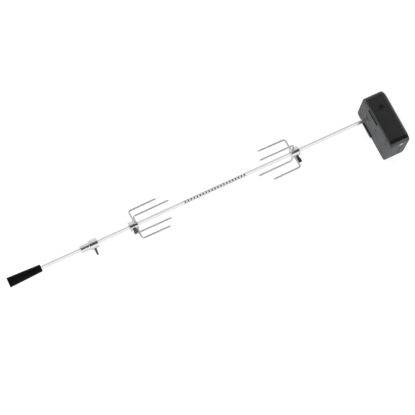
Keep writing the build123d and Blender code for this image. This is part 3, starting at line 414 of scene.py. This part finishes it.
for entry in frame["record"]["subparts"]:
    mesh = frame["nodes"][entry["node"]].data
    mesh.materials.clear()
    mesh.materials.append(MATERIALS[entry["material_slot"]])


# ---------------------------------------------------------------- spit bar
def bar_ring(station, half, corner, phase):
    """Rounded square about the spit's axis. A corner as large as half makes a circle."""
    ring = []
    steps = 5
    for quarter in range(4):
        for step in range(steps + 1):
            a = math.radians(90 * quarter + 90 * step / steps)
            middle = math.radians(90 * quarter + 45)
            reach = (half - corner) * math.sqrt(2)
            y = reach * math.cos(middle) + corner * math.cos(a)
            z = reach * math.sin(middle) + corner * math.sin(a)
            ring.append(spot(station, math.hypot(y, z), math.degrees(math.atan2(z, y)) + phase))
    return ring


def eased(t, share):
    """Runs from 0 to 1 at a steady rate, apart from a smooth start and stop."""
    rate = 1 / (1 - share)
    if t < share:
        return rate * t * t / (2 * share)
    if t > 1 - share:
        return 1 - rate * (1 - t) ** 2 / (2 * share)
    return rate * (t - share / 2)


def make_spit_bar():
    start, end = station_of("spit_rod", 0), station_of("spit_rod", 1)
    shoulder = start + TANG_LENGTH
    half = BAR / 2
    rings = [
        bar_ring(start, TANG_R - 0.4 * MM, TANG_R - 0.4 * MM, BAR_PHASE),
        bar_ring(start + 0.4 * MM, TANG_R, TANG_R, BAR_PHASE),
        bar_ring(shoulder, TANG_R, TANG_R, BAR_PHASE),
        bar_ring(shoulder, half - 0.3 * MM, BAR_CORNER, BAR_PHASE),
        bar_ring(shoulder + 0.3 * MM, half, BAR_CORNER, BAR_PHASE),
    ]
    length = TWIST_QUARTER * TWIST_QUARTERS
    count = TWIST_QUARTERS * 16
    for i in range(count + 1):
        t = i / count
        rings.append(bar_ring(
            TWIST_START + t * length, half, BAR_CORNER,
            BAR_PHASE + 90 * TWIST_QUARTERS * eased(t, TWIST_EASE),
        ))
    last = BAR_PHASE + 90 * TWIST_QUARTERS
    rings.append(bar_ring(end - BAR_END_CHAMFER, half, BAR_CORNER, last))
    rings.append(bar_ring(end, half - BAR_END_CHAMFER, BAR_CORNER * 0.8, last))
    bm = bmesh.new()
    skin(bm, rings)
    finish_piece(add_object("spit_bar", bm), "spit", "chrome", ["spit_rod"], sharp=40.0)


# ---------------------------------------------------------------- handle
def make_handle():
    free, nose = station_of("handle_grip", 0), station_of("handle_grip", 1)
    free_r, rod_r, nose_r = half_width("handle_grip"), 9.6 * MM, 2.5 * MM
    ridge, ridge_half_angle = 0.06 * MM, 1.5
    length = nose - free

    def with_ridge(r):
        """A radius that stands out a little at the mould's two parting lines."""
        def at(angle):
            from_line = abs(angle % 180 - 90)
            return r + (ridge if from_line < ridge_half_angle else 0.0)
        return at

    profile = [
        (free + 0.7 * MM, 0.9 * MM), (free + 0.7 * MM, 1.6 * MM),
        (free + 0.1 * MM, 2.2 * MM), (free, 2.6 * MM),
        (free, free_r - 2.2 * MM), (free + 0.05 * MM, free_r - 1.4 * MM),
    ]
    edge = 1.0 * MM
    for step in range(6):
        a = math.pi / 2 * step / 5
        profile.append((free + edge * (1 - math.cos(a)), free_r - edge * (1 - math.sin(a)) - ridge))
    body_end = length - nose_r
    for step in range(1, 25):
        t = step / 24
        straight = free_r + (rod_r - free_r) * t
        profile.append((free + edge + (body_end - edge) * t, with_ridge(straight - ridge)))
    for step in range(1, 9):
        a = math.pi / 2 * step / 8
        profile.append((nose - nose_r * (1 - math.sin(a)), rod_r - ridge - nose_r * (1 - math.cos(a))))
    square = square_r(BAR / 2 + 0.02 * MM, BAR_CORNER)
    wide = square_r(BAR / 2 + 0.3 * MM, BAR_CORNER)
    profile += [
        (nose, wide), (nose - 0.4 * MM, square), (nose - BAR_IN_HANDLE, square),
        (nose - BAR_IN_HANDLE, INSERT_R), (nose - BAR_IN_HANDLE - INSERT_LENGTH, INSERT_R),
    ]
    bm = bmesh.new()
    turned(bm, profile, sides=144)
    finish_piece(add_object("handle", bm), "spit", "handle_plastic", ["handle_grip"])


# ---------------------------------------------------------------- thumb screws
def bearing(angle):
    """Distance from the spit's axis to where a screw at an arm angle meets the bar's flat or corner."""
    from_corner = math.radians(45 - abs((angle - BAR_PHASE + 45) % 90 - 45))
    corner_r = BAR / math.sqrt(2)
    return corner_r * math.cos(from_corner) if corner_r * math.sin(from_corner) < SCREW_R else BAR / 2


def bore_radii():
    """A sliding piece's square bore and its wider mouth, as functions of arm angle."""
    return square_r(HOLE / 2, BORE_CORNER), square_r(HOLE / 2 + BORE_MOUTH, MOUTH_CORNER)


def drill_for_screw(bm, station, angle, surface_r):
    """Cutter for a thumb screw's hole, from the spit's axis out through a round surface."""
    rod_between(
        bm, spot(station), spot(station, surface_r + DRILL_PAST, angle), SCREW_R + SCREW_CLEARANCE,
        flare=HOLE_BREAK, flare_at=surface_r - HOLE_BREAK_DEPTH,
    )


def make_thumb_screw(name, node, body, station, angle, seat_r, spin):
    """Threaded shaft, conical neck and dished spade paddle. u runs across the paddle and v through it."""
    out = spot(0, 1, angle) - spot(0, 0, angle)
    across = Matrix.Rotation(math.radians(spin), 3, out) @ Vector((1, 0, 0))
    through = out.cross(across)
    foot = spot(station)

    def at(u, v, h):
        return foot + across * u + through * v + out * h

    bm = bmesh.new()
    tip, neck = bearing(angle) + SCREW_TIP_GAP, seat_r + NECK_GAP
    sides, rings = 24, []
    steps = int((neck - tip) / SCREW_PITCH * 8)
    for i in range(steps + 1):
        h = tip + (neck - tip) * i / steps
        fade = min(1.0, i / 6, (steps - i) / 4)
        ring = []
        for k in range(sides):
            turn = (h / SCREW_PITCH - k / sides) % 1.0
            r = SCREW_R - THREAD_DEPTH * fade * (1 - abs(2 * turn - 1))
            a = 2 * math.pi * k / sides
            ring.append(at(r * math.cos(a), r * math.sin(a), h))
        rings.append(ring)
    skin(bm, rings)

    def section(half_u, half_v, h, power, dish=0.0):
        ring = []
        for k in range(48):
            a = 2 * math.pi * k / 48
            c, s = math.cos(a), math.sin(a)
            u = half_u * math.copysign(abs(c) ** (2 / power), c)
            v = half_v * math.copysign(abs(s) ** (2 / power), s)
            hollow = max(0.0, 1 - (u / (0.78 * half_u)) ** 2)
            ring.append(at(u, v - math.copysign(dish * hollow, v) * min(1.0, abs(v) / half_v), h))
        return ring

    start = neck + NECK_HEIGHT - 0.4 * MM
    top = seat_r + NECK_GAP + PADDLE_HEIGHT
    rings = [
        section(NECK_R - 0.5 * MM, NECK_R - 0.5 * MM, neck, 2), section(NECK_R, NECK_R, neck + 0.4 * MM, 2),
        section(NECK_R * 0.97, NECK_R * 0.97, neck + 0.9 * MM, 2),
        section(3.5 * MM, 3.2 * MM, start, 2.1),
    ]
    for i in range(1, 13):
        t = i / 13
        swell = math.sin(math.pi / 2 * min(1.0, t / 0.6)) ** 1.4
        half_u = 3.4 * MM + 2.6 * MM * swell - 0.7 * MM * max(0.0, (t - 0.6) / 0.4) ** 1.5
        half_v = 3.0 * MM - 1.25 * MM * t ** 0.8
        dish = 0.5 * MM * math.sin(math.pi * min(1.0, max(0.0, (t - 0.15) / 0.85)))
        rings.append(section(half_u, half_v, start + (top - 1.6 * MM - start) * t, 2.1 + 1.9 * swell, dish))
    for i in range(1, 6):
        a = math.pi / 2 * i / 5
        shrink = math.cos(a)
        rings.append(section(
            5.3 * MM - 2.2 * MM * (1 - shrink), 1.75 * MM * (0.12 + 0.88 * shrink),
            top - 1.6 * MM * (1 - math.sin(a)), 3.6,
        ))
    skin(bm, rings)
    finish_piece(add_object(name, bm), body, "dark_steel", [node], sharp=40.0)


# ---------------------------------------------------------------- collar
COLLAR_SCREW_ANGLE, JOURNAL_R, COLLAR_R = 214.0, 9.5 * MM, half_width("bushing_collar")


def make_collar():
    start, end = station_of("bushing_collar", 0), station_of("bushing_collar", 1)
    step_at, groove = start + 24.0 * MM, start + 12.0 * MM
    square, wide = bore_radii()
    profile = [(start, wide)]
    profile += rounded_edge((start, JOURNAL_R), 1.0 * MM, (0, 1), (1, 0))
    for depth, across in ((0.0, 0.0), (0.5, 0.12), (0.6, 0.3), (0.6, 1.2), (0.5, 1.38), (0.0, 1.5)):
        profile.append((groove + across * MM, JOURNAL_R - depth * MM))
    profile += [(step_at - 0.5 * MM, JOURNAL_R), (step_at - 0.15 * MM, JOURNAL_R + 0.15 * MM)]
    profile.append((step_at, JOURNAL_R + 0.5 * MM))
    profile += rounded_edge((step_at, COLLAR_R), 0.6 * MM, (0, 1), (1, 0))
    profile += rounded_edge((end, COLLAR_R), 1.0 * MM, (1, 0), (0, -1))
    profile += [(end, wide), (end - BORE_MOUTH, square), (start + BORE_MOUTH, square)]
    bm = bmesh.new()
    turned(bm, profile, sides=128, looped=True)
    collar = add_object("collar", bm)
    station = (step_at + end) / 2
    holes = bmesh.new()
    drill_for_screw(holes, station, COLLAR_SCREW_ANGLE, COLLAR_R)
    finish_piece(cut(collar, holes), "collar", "chrome", ["bushing_collar"])
    make_thumb_screw(
        "collar_screw", "collar_thumb_screw", "collar_screw", station, COLLAR_SCREW_ANGLE, COLLAR_R, 80
    )


# ---------------------------------------------------------------- forks
def prong_route(face, facing, angle, length):
    """Centres and radii of one prong: out of the hub, round its bend, along the spit and into its point."""
    out = spot(0, 1, angle) - spot(0, 0, angle)
    along = Vector((facing, 0, 0))
    origin = spot(face - facing * WIRE_INSET)
    tilt = math.radians(PRONG_SPLAY)
    run = (along * math.cos(tilt) + out * math.sin(tilt)).normalized()
    corner = origin + out * PRONG_CIRCLE_R
    back = WIRE_BEND_R * math.tan((math.pi / 2 - tilt) / 2)
    centre = corner - out * back + along * WIRE_BEND_R
    points, radii = [origin + out * PRONG_SEAT_R], [WIRE_R]
    sweep = math.pi / 2 - tilt
    for step in range(13):
        a = sweep * step / 12
        points.append(centre - along * WIRE_BEND_R * math.cos(a) + out * WIRE_BEND_R * math.sin(a))
        radii.append(WIRE_R)
    shank = length - PRONG_POINT
    points.append(corner + run * shank)
    radii.append(WIRE_R)
    for t, share in ((0.15, 0.955), (0.4, 0.76), (0.7, 0.47), (0.9, 0.25), (0.97, 0.17), (1.0, 0.08)):
        points.append(corner + run * (shank + PRONG_POINT * t))
        radii.append(WIRE_R * share)
    return points, radii, along.cross(out)


def weld_bead(bm, station, angle, seed):
    """Rippled fillet of weld round a prong where it enters the hub's round surface."""
    out = spot(0, 1, angle) - spot(0, 0, angle)
    across = Vector((1, 0, 0))
    around = out.cross(across)
    rings = []
    for i in range(40):
        a = 2 * math.pi * i / 40
        way = across * math.cos(a) + around * math.sin(a)
        offset = (WIRE_R + 0.35 * MM) * math.sin(a)
        surface = math.sqrt(HUB_R * HUB_R - offset * offset)
        ripple = 0.10 * math.sin(11 * a + seed)
        fat = 1.15 * MM * (1 + ripple + 0.25 * noise.noise(way * 1.7 + out * seed))
        middle = spot(station) + out * (surface + 0.1 * MM) + way * (WIRE_R + 0.25 * MM)
        ring = []
        for k in range(12):
            b = 2 * math.pi * k / 12
            ring.append(middle + fat * (way * math.cos(b) + out * math.sin(b)))
        rings.append(ring)
    skin(bm, rings, looped=True)


def make_fork(side, facing, screw_angle, spin):
    hub_node = f"{side}_fork_hub"
    face = station_of(hub_node, 1 if facing > 0 else 0)
    rear = station_of(hub_node, 0 if facing > 0 else 1)
    square, wide = bore_radii()
    profile = [(face, wide)]
    profile += rounded_edge((face, HUB_R), 1.0 * MM, (0, 1), (-facing, 0))
    profile += rounded_edge((rear, HUB_R), 1.0 * MM, (-facing, 0), (0, -1))
    profile += [(rear, wide), (rear + facing * BORE_MOUTH, square), (face - facing * BORE_MOUTH, square)]
    bm = bmesh.new()
    turned(bm, profile, sides=128, looped=True)
    hub = add_object(f"{side}_hub", bm)

    first = BAR_PHASE - 45 - facing * PRONG_OFFSET
    pairs = (
        ("short", SHORT_PRONG, (first, first + 180)),
        ("long", LONG_PRONG, (first + 90, first + 270)),
    )
    holes, welds = bmesh.new(), bmesh.new()
    screw_at = face - facing * HUB_SCREW_INSET
    drill_for_screw(holes, screw_at, screw_angle, HUB_R)
    for size, length, angles in pairs:
        wires = bmesh.new()
        for angle in angles:
            station = face - facing * WIRE_INSET
            points, radii, side_way = prong_route(face, facing, angle, length)
            tube(wires, points, radii, side_way, sides=28)
            seat = spot(station, PRONG_SEAT_R - 0.02 * MM, angle)
            rod_between(holes, seat, spot(station, HUB_R + DRILL_PAST, angle), WIRE_R)
            weld_bead(welds, station, angle, seed=angle / 60)
        finish_piece(
            add_object(f"{side}_{size}_prongs", wires), f"{side}_fork", "plated_wire",
            [f"{side}_fork_{size}_prongs"], sharp=50.0,
        )
    finish_piece(cut(hub, holes), f"{side}_fork", "chrome", [hub_node])
    finish_piece(add_object(f"{side}_welds", welds), f"{side}_fork", "chrome", sharp=80.0)
    make_thumb_screw(
        f"{side}_fork_screw", f"{side}_fork_thumb_screw", f"{side}_fork_screw",
        screw_at, screw_angle, HUB_R, spin,
    )


# ---------------------------------------------------------------- motor case
def drawn_in(radius, past):
    """How far a rounded edge has drawn in at a depth past its start."""
    past = min(max(past, 0.0), radius)
    return radius - math.sqrt(radius * radius - past * past)


def case_ring(station, inset=0.0, extra=0.0):
    """Rounded-rectangle section of the case at a station, inset by a wall and drawn in by extra."""
    front_r = max(FRONT_EDGE_R - inset, 0.0)
    front = drawn_in(front_r, front_r - (station - inset)) + extra
    rear_y = drawn_in(REAR_END_R - inset, station - (CASE_DEPTH - REAR_END_R))
    rear_z = drawn_in(REAR_SIDE_R - inset, station - (CASE_DEPTH - REAR_SIDE_R))
    half_y = CASE_LENGTH / 2 - inset - front - rear_y
    half_z = CASE_WIDTH / 2 - inset - front - rear_z
    corner = CORNER_R - inset - front + 0.45 * (rear_y + rear_z)
    ring = []
    for quarter in range(4):
        for step in range(11):
            a = math.radians(90 * quarter + 9 * step)
            sign_y = 1 if quarter in (0, 3) else -1
            sign_z = 1 if quarter in (0, 1) else -1
            ring.append(Vector((
                DRIVE_X + station,
                CASE_Y + sign_y * (half_y - corner) + corner * math.cos(a),
                CASE_Z + sign_z * (half_z - corner) + corner * math.sin(a),
            )))
    return ring


def rear_stations(inset=0.0):
    """Stations from the seam to the back, close together where the back edges round over."""
    back = CASE_DEPTH - inset
    bend = CASE_DEPTH - REAR_SIDE_R
    stations = [SEAM + SEAM_GAP + SEAM_BREAK, (SEAM + bend) / 2, bend]
    radius = back - bend
    stations += [bend + radius * math.sin(math.pi / 2 * step / 18) for step in range(1, 18)]
    return stations + [back - 0.004 * MM, back]


def keep_side(obj, y, way):
    """Keeps the part of obj on the way side of a plane at y, and breaks its cut outer edges."""
    low, high = cad_bounds[0] - Vector((0.05,) * 3), cad_bounds[1] + Vector((0.05,) * 3)
    if way > 0:
        high.y = y
    else:
        low.y = y
    slab = bmesh.new()
    box_into(slab, low, high)
    cut(obj, slab)
    bm = bmesh.new()
    bm.from_mesh(obj.data)
    rim = []
    for edge in bm.edges:
        on_plane = all(abs(v.co.y - y) < MERGE_DISTANCE for v in edge.verts)
        if on_plane and edge.is_manifold and edge.calc_face_angle() > math.radians(60):
            rim.append(edge)
    soften(bm, rim, SEAM_BREAK, segments=3)
    bm.to_mesh(obj.data)
    bm.free()
    return obj


def screw_places(node):
    """Middles of a node's separate solids, found from its mesh."""
    bm = bmesh.new()
    bm.from_mesh(frame["nodes"][node].data)
    bmesh.ops.remove_doubles(bm, verts=bm.verts, dist=MERGE_DISTANCE)
    left, middles = set(bm.verts), []
    while left:
        group, todo = [], [left.pop()]
        while todo:
            vert = todo.pop()
            group.append(vert.co.copy())
            for edge in vert.link_edges:
                other = edge.other_vert(vert)
                if other in left:
                    left.discard(other)
                    todo.append(other)
        low = Vector(min(c[i] for c in group) for i in range(3))
        high = Vector(max(c[i] for c in group) for i in range(3))
        middles.append((low + high) / 2)
    bm.free()
    return middles


def make_case():
    bm = bmesh.new()
    outer = [case_ring(SEAM, extra=SEAM_BREAK), case_ring(SEAM - SEAM_BREAK)]
    outer += [case_ring(FRONT_EDGE_R * (1 - math.sin(math.pi / 2 * step / 6))) for step in range(7)]
    inner = [case_ring(SEAM, CASE_WALL), case_ring(CASE_WALL, CASE_WALL)]
    skin(bm, list(reversed(outer)) + inner)
    front = add_object("drive_side_case", bm)
    holes = bmesh.new()
    rod_between(holes, spot(SEAM), spot(-SEAM), BUSH_SEAT_R)
    for place in screw_places("case_screws"):
        face = Vector((DRIVE_X, place.y, place.z))
        into = Vector((1, 0, 0))
        rod_between(
            holes, face + into * CASE_SCREW_HOLE_DEPTH, face - into * DRILL_PAST, CASE_SCREW_HOLE_R,
            flare=0.25 * MM, flare_at=CASE_SCREW_HOLE_DEPTH,
        )
    finish_piece(cut(front, holes), "motor_unit", "drive_face_plastic", ["front_housing"])

    bm = bmesh.new()
    outer = [case_ring(SEAM + SEAM_GAP, extra=SEAM_BREAK)] + [case_ring(s) for s in rear_stations()]
    inner = [case_ring(s, CASE_WALL) for s in rear_stations(CASE_WALL)]
    inner[0] = case_ring(SEAM + SEAM_GAP, CASE_WALL)
    skin(bm, list(reversed(outer)) + inner)
    rear = keep_side(add_object("rear_case", bm), SEAL_LINE, 1)
    holes = bmesh.new()
    low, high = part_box("switch_body")
    middle = (low + high) / 2
    below = Vector((middle.x, middle.y, CASE_WIDTH - 5 * MM))
    above = Vector((middle.x, middle.y, CASE_WIDTH + 5 * MM))
    rod_between(holes, below, above, SWITCH_HOLE_R)
    finish_piece(cut(rear, holes), "motor_unit", "dark_plastic", ["rear_housing"])

    bm = bmesh.new()
    skin(bm, [case_ring(SEAM + SEAM_GAP, extra=SEAM_BREAK)] + [case_ring(s) for s in rear_stations()])
    cap = keep_side(add_object("battery_end_cap", bm), CAP_LINE, -1)
    holes = bmesh.new()
    low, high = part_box("cap_screw")
    screw = Vector(((low.x + high.x) / 2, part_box("battery_cap")[0].y, (low.z + high.z) / 2))
    into = Vector((0, 1, 0))
    rod_between(
        holes, screw + into * CAP_SCREW_HOLE_DEPTH, screw - into * DRILL_PAST, CAP_SCREW_HOLE_R,
        flare=0.3 * MM, flare_at=CAP_SCREW_HOLE_DEPTH,
    )
    grip = Vector((DRIVE_X + (CASE_DEPTH + SEAM) / 2, screw.y, CASE_Z - FINGER_SLOT_DROP))
    slot_cutter(holes, grip, FINGER_SLOT_HALF, FINGER_SLOT_R, FINGER_SLOT_DEPTH)
    finish_piece(cut(cap, holes), "battery_door", "drive_face_plastic", ["battery_cap"])


def slot_cutter(bm, middle, half, r, depth):
    """Cutter for a round-ended finger recess in a face square to Y, running along Z, with sloping walls."""
    rings = []
    for y, grow in ((depth, -0.5 * MM), (depth * 0.6, -0.1 * MM), (0.0, 0.15 * MM), (-2 * MM, 2.15 * MM)):
        ring = []
        for k in range(48):
            a = 2 * math.pi * k / 48
            end = half if math.sin(a) >= 0 else -half
            ring.append(middle + Vector(((r + grow) * math.cos(a), y, end + (r + grow) * math.sin(a))))
        rings.append(ring)
    skin(bm, rings)


def make_front_bush():
    flange_r, bore_r, flange = 11.5 * MM, 8.05 * MM, 1.0 * MM
    inner_end = station_of("front_bush", 1)
    profile = [(inner_end, bore_r)]
    profile += [(-flange + 0.5 * MM, bore_r), (-flange, bore_r + 0.5 * MM)]
    profile += rounded_edge((-flange, flange_r), 0.5 * MM, (0, 1), (1, 0))
    profile += [(0.0, flange_r), (0.0, BUSH_SEAT_R), (inner_end, BUSH_SEAT_R)]
    bm = bmesh.new()
    turned(bm, profile, sides=96, looped=True)
    finish_piece(add_object("drive_bush", bm), "motor_unit", "dark_steel", ["front_bush"])


# ---------------------------------------------------------------- stage
CAMERA_AZIMUTH, CAMERA_ELEVATION, CAMERA_ROLL = -34.28, 72.90, 8.43
CAMERA_DISTANCE, CAMERA_LENS = 3.326, 113.5
CAMERA_AIM = Vector((DRIVE_X - 0.4822, AXIS_Y - 0.0373, AXIS_Z))
# Brightness of the dome against the angle about the spit's axis, from +Y over the top to -Y, in degrees
SKY = ((0, 0.75), (25, 0.78), (55, 0.70), (80, 0.10), (122, 0.06), (140, 1.0), (180, 0.95))
SKY_STRENGTH = 1.6
SOFTBOX_POWER, SOFTBOX_DISTANCE, FLOOR_GLOW = 18.0, 2.4, 0.81


def towards(azimuth, elevation):
    """Direction from the object towards a place at an azimuth and an elevation, in degrees."""
    a, e = math.radians(azimuth), math.radians(elevation)
    return Vector((math.sin(a) * math.cos(e), -math.cos(a) * math.cos(e), math.sin(e)))


def make_camera():
    back = towards(CAMERA_AZIMUTH, CAMERA_ELEVATION)
    level = Vector((0, 0, 1)).cross(back).normalized()
    roll = math.radians(CAMERA_ROLL)
    right = level * math.cos(roll) + back.cross(level) * math.sin(roll)
    up = back.cross(right)
    data = bpy.data.cameras.new("camera")
    data.lens, data.sensor_width = CAMERA_LENS, 36.0
    data.clip_start, data.clip_end = 0.05, 50.0
    camera = bpy.data.objects.new("camera", data)
    turn = Matrix((right, up, back)).transposed().to_4x4()
    camera.matrix_world = Matrix.Translation(CAMERA_AIM + back * CAMERA_DISTANCE) @ turn
    bpy.context.scene.collection.objects.link(camera)
    bpy.context.scene.camera = camera


def make_floor():
    bm = bmesh.new()
    bmesh.ops.create_grid(bm, x_segments=8, y_segments=8, size=8.0)
    floor = add_object("floor", bm)
    floor.location.z = cad_bounds[0].z
    material, tree, shader = tree_of("floor_paper")
    clouds = grain(tree, 3.0)
    darker, lighter = (0.29, 0.29, 0.29), (0.31, 0.31, 0.31)
    tree.links.new(blended(tree, clouds, darker, lighter), shader.inputs["Base Color"])
    shader.inputs["Roughness"].default_value = 0.9
    shader.inputs["Emission Color"].default_value = (1, 1, 1, 1)
    shader.inputs["Emission Strength"].default_value = FLOOR_GLOW
    floor.data.materials.append(material)


def make_light():
    """White dome with a dark band overhead that runs along the spit, and one large softbox."""
    world = bpy.data.worlds.new("studio")
    world.use_nodes = True
    bpy.context.scene.world = world
    tree = world.node_tree
    background = tree.nodes["Background"]
    place = add_node(tree, "ShaderNodeTexCoord")
    split = add_node(tree, "ShaderNodeSeparateXYZ")
    tree.links.new(place.outputs["Generated"], split.inputs["Vector"])
    turn = add_node(tree, "ShaderNodeMath", operation="ARCTAN2")
    tree.links.new(split.outputs["Z"], turn.inputs[0])
    tree.links.new(split.outputs["Y"], turn.inputs[1])
    ramp = add_node(tree, "ShaderNodeValToRGB")
    tree.links.new(ranged(tree, turn.outputs["Value"], 0.0, 1.0, 0.0, math.pi), ramp.inputs["Fac"])
    stops = ramp.color_ramp.elements
    stops.remove(stops[1])
    stops[0].position, stops[0].color = SKY[0][0] / 180, (*(SKY[0][1],) * 3, 1)
    for angle, value in SKY[1:]:
        stops.new(angle / 180).color = (value, value, value, 1)
    strength = add_node(tree, "ShaderNodeMath", operation="MULTIPLY")
    tree.links.new(ramp.outputs["Color"], strength.inputs[0])
    strength.inputs[1].default_value = SKY_STRENGTH
    tree.links.new(strength.outputs["Value"], background.inputs["Strength"])
    background.inputs["Color"].default_value = (1, 1, 1, 1)

    data = bpy.data.lights.new("softbox", "AREA")
    data.shape, data.size, data.size_y, data.energy = "RECTANGLE", 1.6, 1.0, SOFTBOX_POWER
    softbox = bpy.data.objects.new("softbox", data)
    place = towards(-70, 38) * SOFTBOX_DISTANCE
    softbox.location = CAMERA_AIM + place
    softbox.rotation_euler = place.to_track_quat("Z", "Y").to_euler()
    bpy.context.scene.collection.objects.link(softbox)
    bpy.context.scene.view_settings.view_transform = "Standard"


make_camera()
make_floor()
make_light()
make_spit_bar()
make_handle()
make_collar()
make_fork("left", 1, 148.0, 35)
make_fork("right", -1, 190.0, 20)
make_case()
make_front_bush()
refined("cap_seal", "motor_unit", "seal_rubber", 0.4 * MM)
refined("bracket_rails", "motor_unit", "black_steel", 0.3 * MM)
refined("case_screws", "motor_unit", "black_steel", 0.12 * MM)
refined("switch_body", "motor_unit", "switch_plastic", 0.12 * MM)
refined("switch_rocker", "rocker", "switch_plastic", 0.2 * MM)
refined("cap_screw", "door_screw", "zinc_steel", 0.15 * MM)
refined("drive_spindle", "spindle", "dark_steel", 0.2 * MM)
